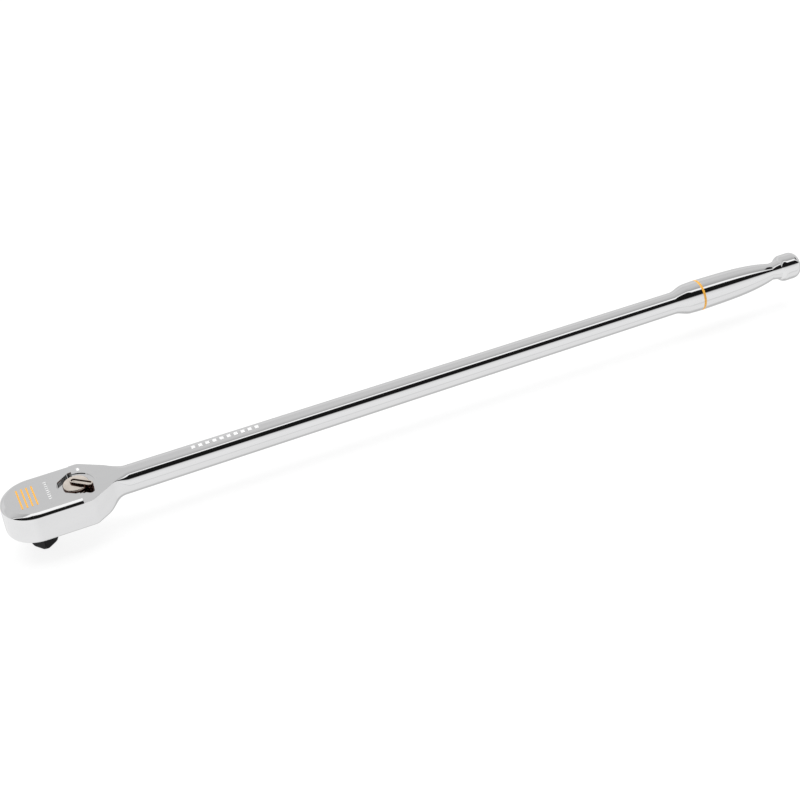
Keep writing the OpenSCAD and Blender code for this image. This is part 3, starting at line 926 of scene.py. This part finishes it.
def screw_tree(material):
    """A countersunk screw with a hexagon socket on each point."""
    tree, group_in, group_out = node_tree("cover_screw", (
        ("Head radius", "NodeSocketFloat"), ("Shank radius", "NodeSocketFloat"),
        ("Head height", "NodeSocketFloat"), ("Length", "NodeSocketFloat"),
        ("Key radius", "NodeSocketFloat")))

    def solid(kind, vertices, depth, lift, links):
        node = tree.nodes.new(kind)
        node.inputs["Vertices"].default_value = vertices
        for source, target in links:
            tree.links.new(group_in.outputs[source], node.inputs[target])
        if depth:
            node.inputs["Depth"].default_value = depth
        move = tree.nodes.new("GeometryNodeTransform")
        move.inputs["Translation"].default_value = (0, 0, lift)
        tree.links.new(node.outputs["Mesh"], move.inputs["Geometry"])
        return move.outputs[0]

    head = solid("GeometryNodeMeshCone", 48, 0, 0,
                 (("Head radius", "Radius Bottom"), ("Shank radius", "Radius Top"),
                  ("Head height", "Depth")))
    shank = solid("GeometryNodeMeshCylinder", 48, 0, 4.4 * MM,
                  (("Shank radius", "Radius"), ("Length", "Depth")))
    key = solid("GeometryNodeMeshCylinder", 6, 2.4 * MM, 0, (("Key radius", "Radius"),))
    whole = tree.nodes.new("GeometryNodeMeshBoolean")
    whole.operation = "UNION"
    tree.links.new(head, whole.inputs["Mesh 2"])
    tree.links.new(shank, whole.inputs["Mesh 2"])
    socket = tree.nodes.new("GeometryNodeMeshBoolean")
    socket.operation = "DIFFERENCE"
    tree.links.new(whole.outputs["Mesh"], socket.inputs["Mesh 1"])
    tree.links.new(key, socket.inputs["Mesh 2"])
    spread = tree.nodes.new("GeometryNodeInstanceOnPoints")
    tree.links.new(group_in.outputs["Geometry"], spread.inputs["Points"])
    tree.links.new(socket.outputs["Mesh"], spread.inputs["Instance"])
    end_tree(tree, spread.outputs[0], group_out, material)
    return tree


class RATCHET_OT_screws(bpy.types.Operator):
    """Makes the three screws that hold the cover plate"""
    bl_idname = "ratchet.screws"
    bl_label = "Cover screws"

    def execute(self, context):
        near_ear = (COVER_EAR[0], -COVER_EAR[1])
        places = [(*place, COVER_LOW.z) for place in (COVER_EAR, near_ear, COVER_TAIL)]
        piece = node_piece("cover_screws_made", places, screw_tree(finish(black_oxide)), {
            "Head radius": 2.7 * MM, "Shank radius": 1.29 * MM, "Head height": 1.2 * MM,
            "Length": 7.6 * MM, "Key radius": 1.15 * MM})
        finish_shading(piece)
        dress(piece, "handle", finish(black_oxide), "screw_steel", "cover_screws")
        return {"FINISHED"}


class RATCHET_OT_mechanism(bpy.types.Operator):
    """Gives the pawls, plungers, springs, seals and cover plate their finishes"""
    bl_idname = "ratchet.mechanism"
    bl_label = "Mechanism"

    def execute(self, context):
        finishes = {
            ground_steel: ("cover_plate",),
            hardened_steel: ("upper_pawl", "lower_pawl"),
            polished_steel: ("pawl_pin", "upper_plunger", "lower_plunger", "socket_ball",
                             "lever_detent_ball"),
            spring_wire: ("lever_clip", "upper_plunger_spring", "lower_plunger_spring",
                          "lever_detent_spring", "socket_ball_spring"),
            bronze: ("thrust_washer",),
            seal_rubber: ("drive_seal", "lever_seal"),
        }
        for maker, names in finishes.items():
            material = finish(maker)
            for name in names:
                mesh = frame["nodes"][name].data
                mesh.materials.clear()
                mesh.materials.append(material)
        return {"FINISHED"}


# ---------------------------------------------------------------- the stage

def world_light():
    """A studio in one gradient: grey behind and above, a lamp strip, then a dark room in front."""
    world = bpy.data.worlds.new("studio")
    bpy.context.scene.world = world
    world.use_nodes = True
    tree = world.node_tree
    background = tree.nodes["Background"]
    place = tree.nodes.new("ShaderNodeTexCoord").outputs["Generated"]
    split = tree.nodes.new("ShaderNodeSeparateXYZ")
    tree.links.new(place, split.inputs[0])
    along_x, across_y, up_z = (split.outputs[axis] for axis in "XYZ")

    def maths(operation, first, second=0.0):
        node = tree.nodes.new("ShaderNodeMath")
        node.operation = operation
        for socket, value in zip(node.inputs, (first, second)):
            if isinstance(value, (int, float)):
                socket.default_value = value
            else:
                tree.links.new(value, socket)
        return node.outputs[0]

    def clamp(value, low=0.0, high=1.0):
        return maths("MINIMUM", maths("MAXIMUM", value, low), high)

    def away(value, centre):
        """How far a value is from a centre."""
        return maths("ABSOLUTE", maths("SUBTRACT", value, centre))

    # the angle from overhead towards the near side, in degrees
    toward = maths("MULTIPLY", across_y, -1.0)
    angle = maths("MULTIPLY", maths("ARCTAN2", toward, up_z), 180 / math.pi)
    # the lamp's edge turns with the direction along the tool, and only near the lamp
    lamp_angle, lamp_reach, lamp_turn, unturned_at = 18.0, 20.0, 27.0, 0.31
    near = maths("SUBTRACT", 1.0, maths("DIVIDE", away(angle, lamp_angle), lamp_reach))
    along = maths("SUBTRACT", clamp(along_x, -0.2, 0.8), unturned_at)
    turned = maths("MULTIPLY", maths("MULTIPLY", along, lamp_turn), maths("MAXIMUM", near, 0.0))
    angle = maths("SUBTRACT", angle, turned)
    scaled_angle = maths("DIVIDE", maths("ADD", angle, 180.0), 360.0)
    ramp = tree.nodes.new("ShaderNodeValToRGB").color_ramp
    stops = ((-180, 0.58), (-176, 0.50), (-171, 0.62), (-150, 0.68), (-126, 0.70), (-86, 0.71),
             (-73, 0.80), (-62, 0.80), (-54, 0.70), (-30, 0.72), (-17, 0.66), (-5, 0.56),
             (1, 0.46), (5, 0.50), (7, 1.2), (16, 1.2), (18.5, 0.012), (53, 0.008), (57, 0.6),
             (60, 0.84), (70, 0.92), (80, 0.98), (112, 0.97), (116, 0.76), (120, 0.95),
             (160, 0.92), (173, 0.70))
    while len(ramp.elements) < len(stops):
        ramp.elements.new(0.5)
    for element, (degrees, value) in zip(ramp.elements, stops):
        element.position = (degrees + 180) / 360
        element.color = (value, value, value, 1)
    node = tree.nodes["Color Ramp"]
    tree.links.new(scaled_angle, node.inputs[0])
    # a bright wall low beyond the nose, and a small dark panel beyond the knob
    wall_start, wall_rise, wall_fall = 0.05, 3.0, -4.0
    noseward = maths("SUBTRACT", maths("MULTIPLY", along_x, -1.0), wall_start)
    wall = maths("MULTIPLY", clamp(maths("MULTIPLY", noseward, wall_rise)),
                 clamp(maths("MULTIPLY", up_z, wall_fall)))
    panel_x, panel_half, panel_angle, panel_reach, panel_dark = 0.81, 0.055, -9.0, 12.0, 0.96
    panel = maths("MULTIPLY", maths("LESS_THAN", away(along_x, panel_x), panel_half),
                  maths("LESS_THAN", away(angle, panel_angle), panel_reach))
    value = maths("MULTIPLY", node.outputs[0], maths("SUBTRACT", 1.0, wall))
    value = maths("ADD", value, wall)
    value = maths("MULTIPLY", value, maths("SUBTRACT", 1.0, maths("MULTIPLY", panel, panel_dark)))
    tree.links.new(value, background.inputs["Color"])
    background.inputs["Strength"].default_value = 1.0


def soft_light(name, place, aim, size, power):
    data = bpy.data.lights.new(name, "AREA")
    data.shape = "RECTANGLE"
    data.size, data.size_y = size
    data.energy = power
    light = bpy.data.objects.new(name, data)
    bpy.context.scene.collection.objects.link(light)
    light.visible_glossy = False
    light.location = place
    light.rotation_mode = "QUATERNION"
    light.rotation_quaternion = (Vector(aim) - Vector(place)).to_track_quat("-Z", "Y")


class RATCHET_OT_stage(bpy.types.Operator):
    """Makes the floor, the studio light and the camera"""
    bl_idname = "ratchet.stage"
    bl_label = "Stage"

    def execute(self, context):
        scene = context.scene
        scene.view_settings.view_transform = "Standard"
        size = 6.0
        floor = make_object("floor", mesh_from(
            "floor", [(-size, -size, 0), (size, -size, 0), (size, size, 0), (-size, size, 0)],
            [(0, 1, 2, 3)]))
        floor.data.transform(Matrix.Translation((0, 0, cad_bounds[0].z - 0.4 * MM)))
        look = Nodes("floor_paper")
        grain = look.noise(40, 3, 0.5)
        look.link(look.two_tone(grain, (0.20, 0.20, 0.20), (0.18, 0.18, 0.18)),
                  look.shader.inputs["Base Color"])
        look.shader.inputs["Emission Color"].default_value = (1, 1, 1, 1)
        look.shader.inputs["Emission Strength"].default_value = 0.86
        look.shader.inputs["Roughness"].default_value = 0.9
        look.shader.inputs["Specular IOR Level"].default_value = 0.1
        floor.data.materials.append(look.material)
        floor.visible_glossy = False
        world_light()
        soft_light("ceiling", (0.3, 0.35, 1.6), (0.28, 0.0, 0.0), (2.6, 1.2), 28)

        azimuth, elevation, roll = math.radians(-21.6), math.radians(34.43), math.radians(-5.27)
        back = Vector((math.sin(azimuth) * math.cos(elevation),
                       -math.cos(azimuth) * math.cos(elevation), math.sin(elevation)))
        right = Vector((math.cos(azimuth), math.sin(azimuth), 0))
        up = back.cross(right)
        tilted_right = math.cos(roll) * right + math.sin(roll) * up
        tilted_up = -math.sin(roll) * right + math.cos(roll) * up
        aim, distance = Vector((0.284, 0, 0.0285)), 1.1176
        data = bpy.data.cameras.new("camera")
        camera = bpy.data.objects.new("camera", data)
        scene.collection.objects.link(camera)
        camera.matrix_world = Matrix.Translation(aim + distance * back) @ Matrix(
            (tilted_right, tilted_up, back)).transposed().to_4x4()
        data.sensor_width = 36
        data.lens = 71.61
        data.shift_x, data.shift_y = -0.0424, -0.0240
        data.clip_start = 0.01
        scene.camera = camera
        return {"FINISHED"}


# ---------------------------------------------------------------- the add-on

class RATCHET_PT_panel(bpy.types.Panel):
    """Lists the tools that make the wrench"""
    bl_idname = "RATCHET_PT_panel"
    bl_label = "Ratchet wrench"
    bl_space_type = "VIEW_3D"
    bl_region_type = "UI"
    bl_category = "Ratchet"

    def draw(self, context):
        for sizes in (context.scene.forging_sizes, context.scene.lever_sizes,
                      context.scene.drive_sizes):
            box = self.layout.box()
            for name in sizes.bl_rna.properties.keys():
                if name not in ("rna_type", "name"):
                    box.prop(sizes, name)
        for operator in OPERATORS:
            self.layout.operator(operator.bl_idname)


OPERATORS = (RATCHET_OT_forging, RATCHET_OT_band, RATCHET_OT_marks, RATCHET_OT_lever,
             RATCHET_OT_drive, RATCHET_OT_screws, RATCHET_OT_mechanism, RATCHET_OT_stage)
CLASSES = (ForgingSizes, LeverSizes, DriveSizes) + OPERATORS + (RATCHET_PT_panel,)


def register():
    for item in CLASSES:
        bpy.utils.register_class(item)
    bpy.types.Scene.forging_sizes = PointerProperty(type=ForgingSizes)
    bpy.types.Scene.lever_sizes = PointerProperty(type=LeverSizes)
    bpy.types.Scene.drive_sizes = PointerProperty(type=DriveSizes)


def unregister():
    del bpy.types.Scene.drive_sizes
    del bpy.types.Scene.lever_sizes
    del bpy.types.Scene.forging_sizes
    for item in reversed(CLASSES):
        bpy.utils.unregister_class(item)


def main():
    register()
    bpy.ops.ratchet.forging()
    bpy.ops.ratchet.band()
    bpy.ops.ratchet.marks()
    bpy.ops.ratchet.lever()
    bpy.ops.ratchet.drive()
    bpy.ops.ratchet.screws()
    bpy.ops.ratchet.mechanism()
    bpy.ops.ratchet.stage()


if __name__ == "__main__":
    main()
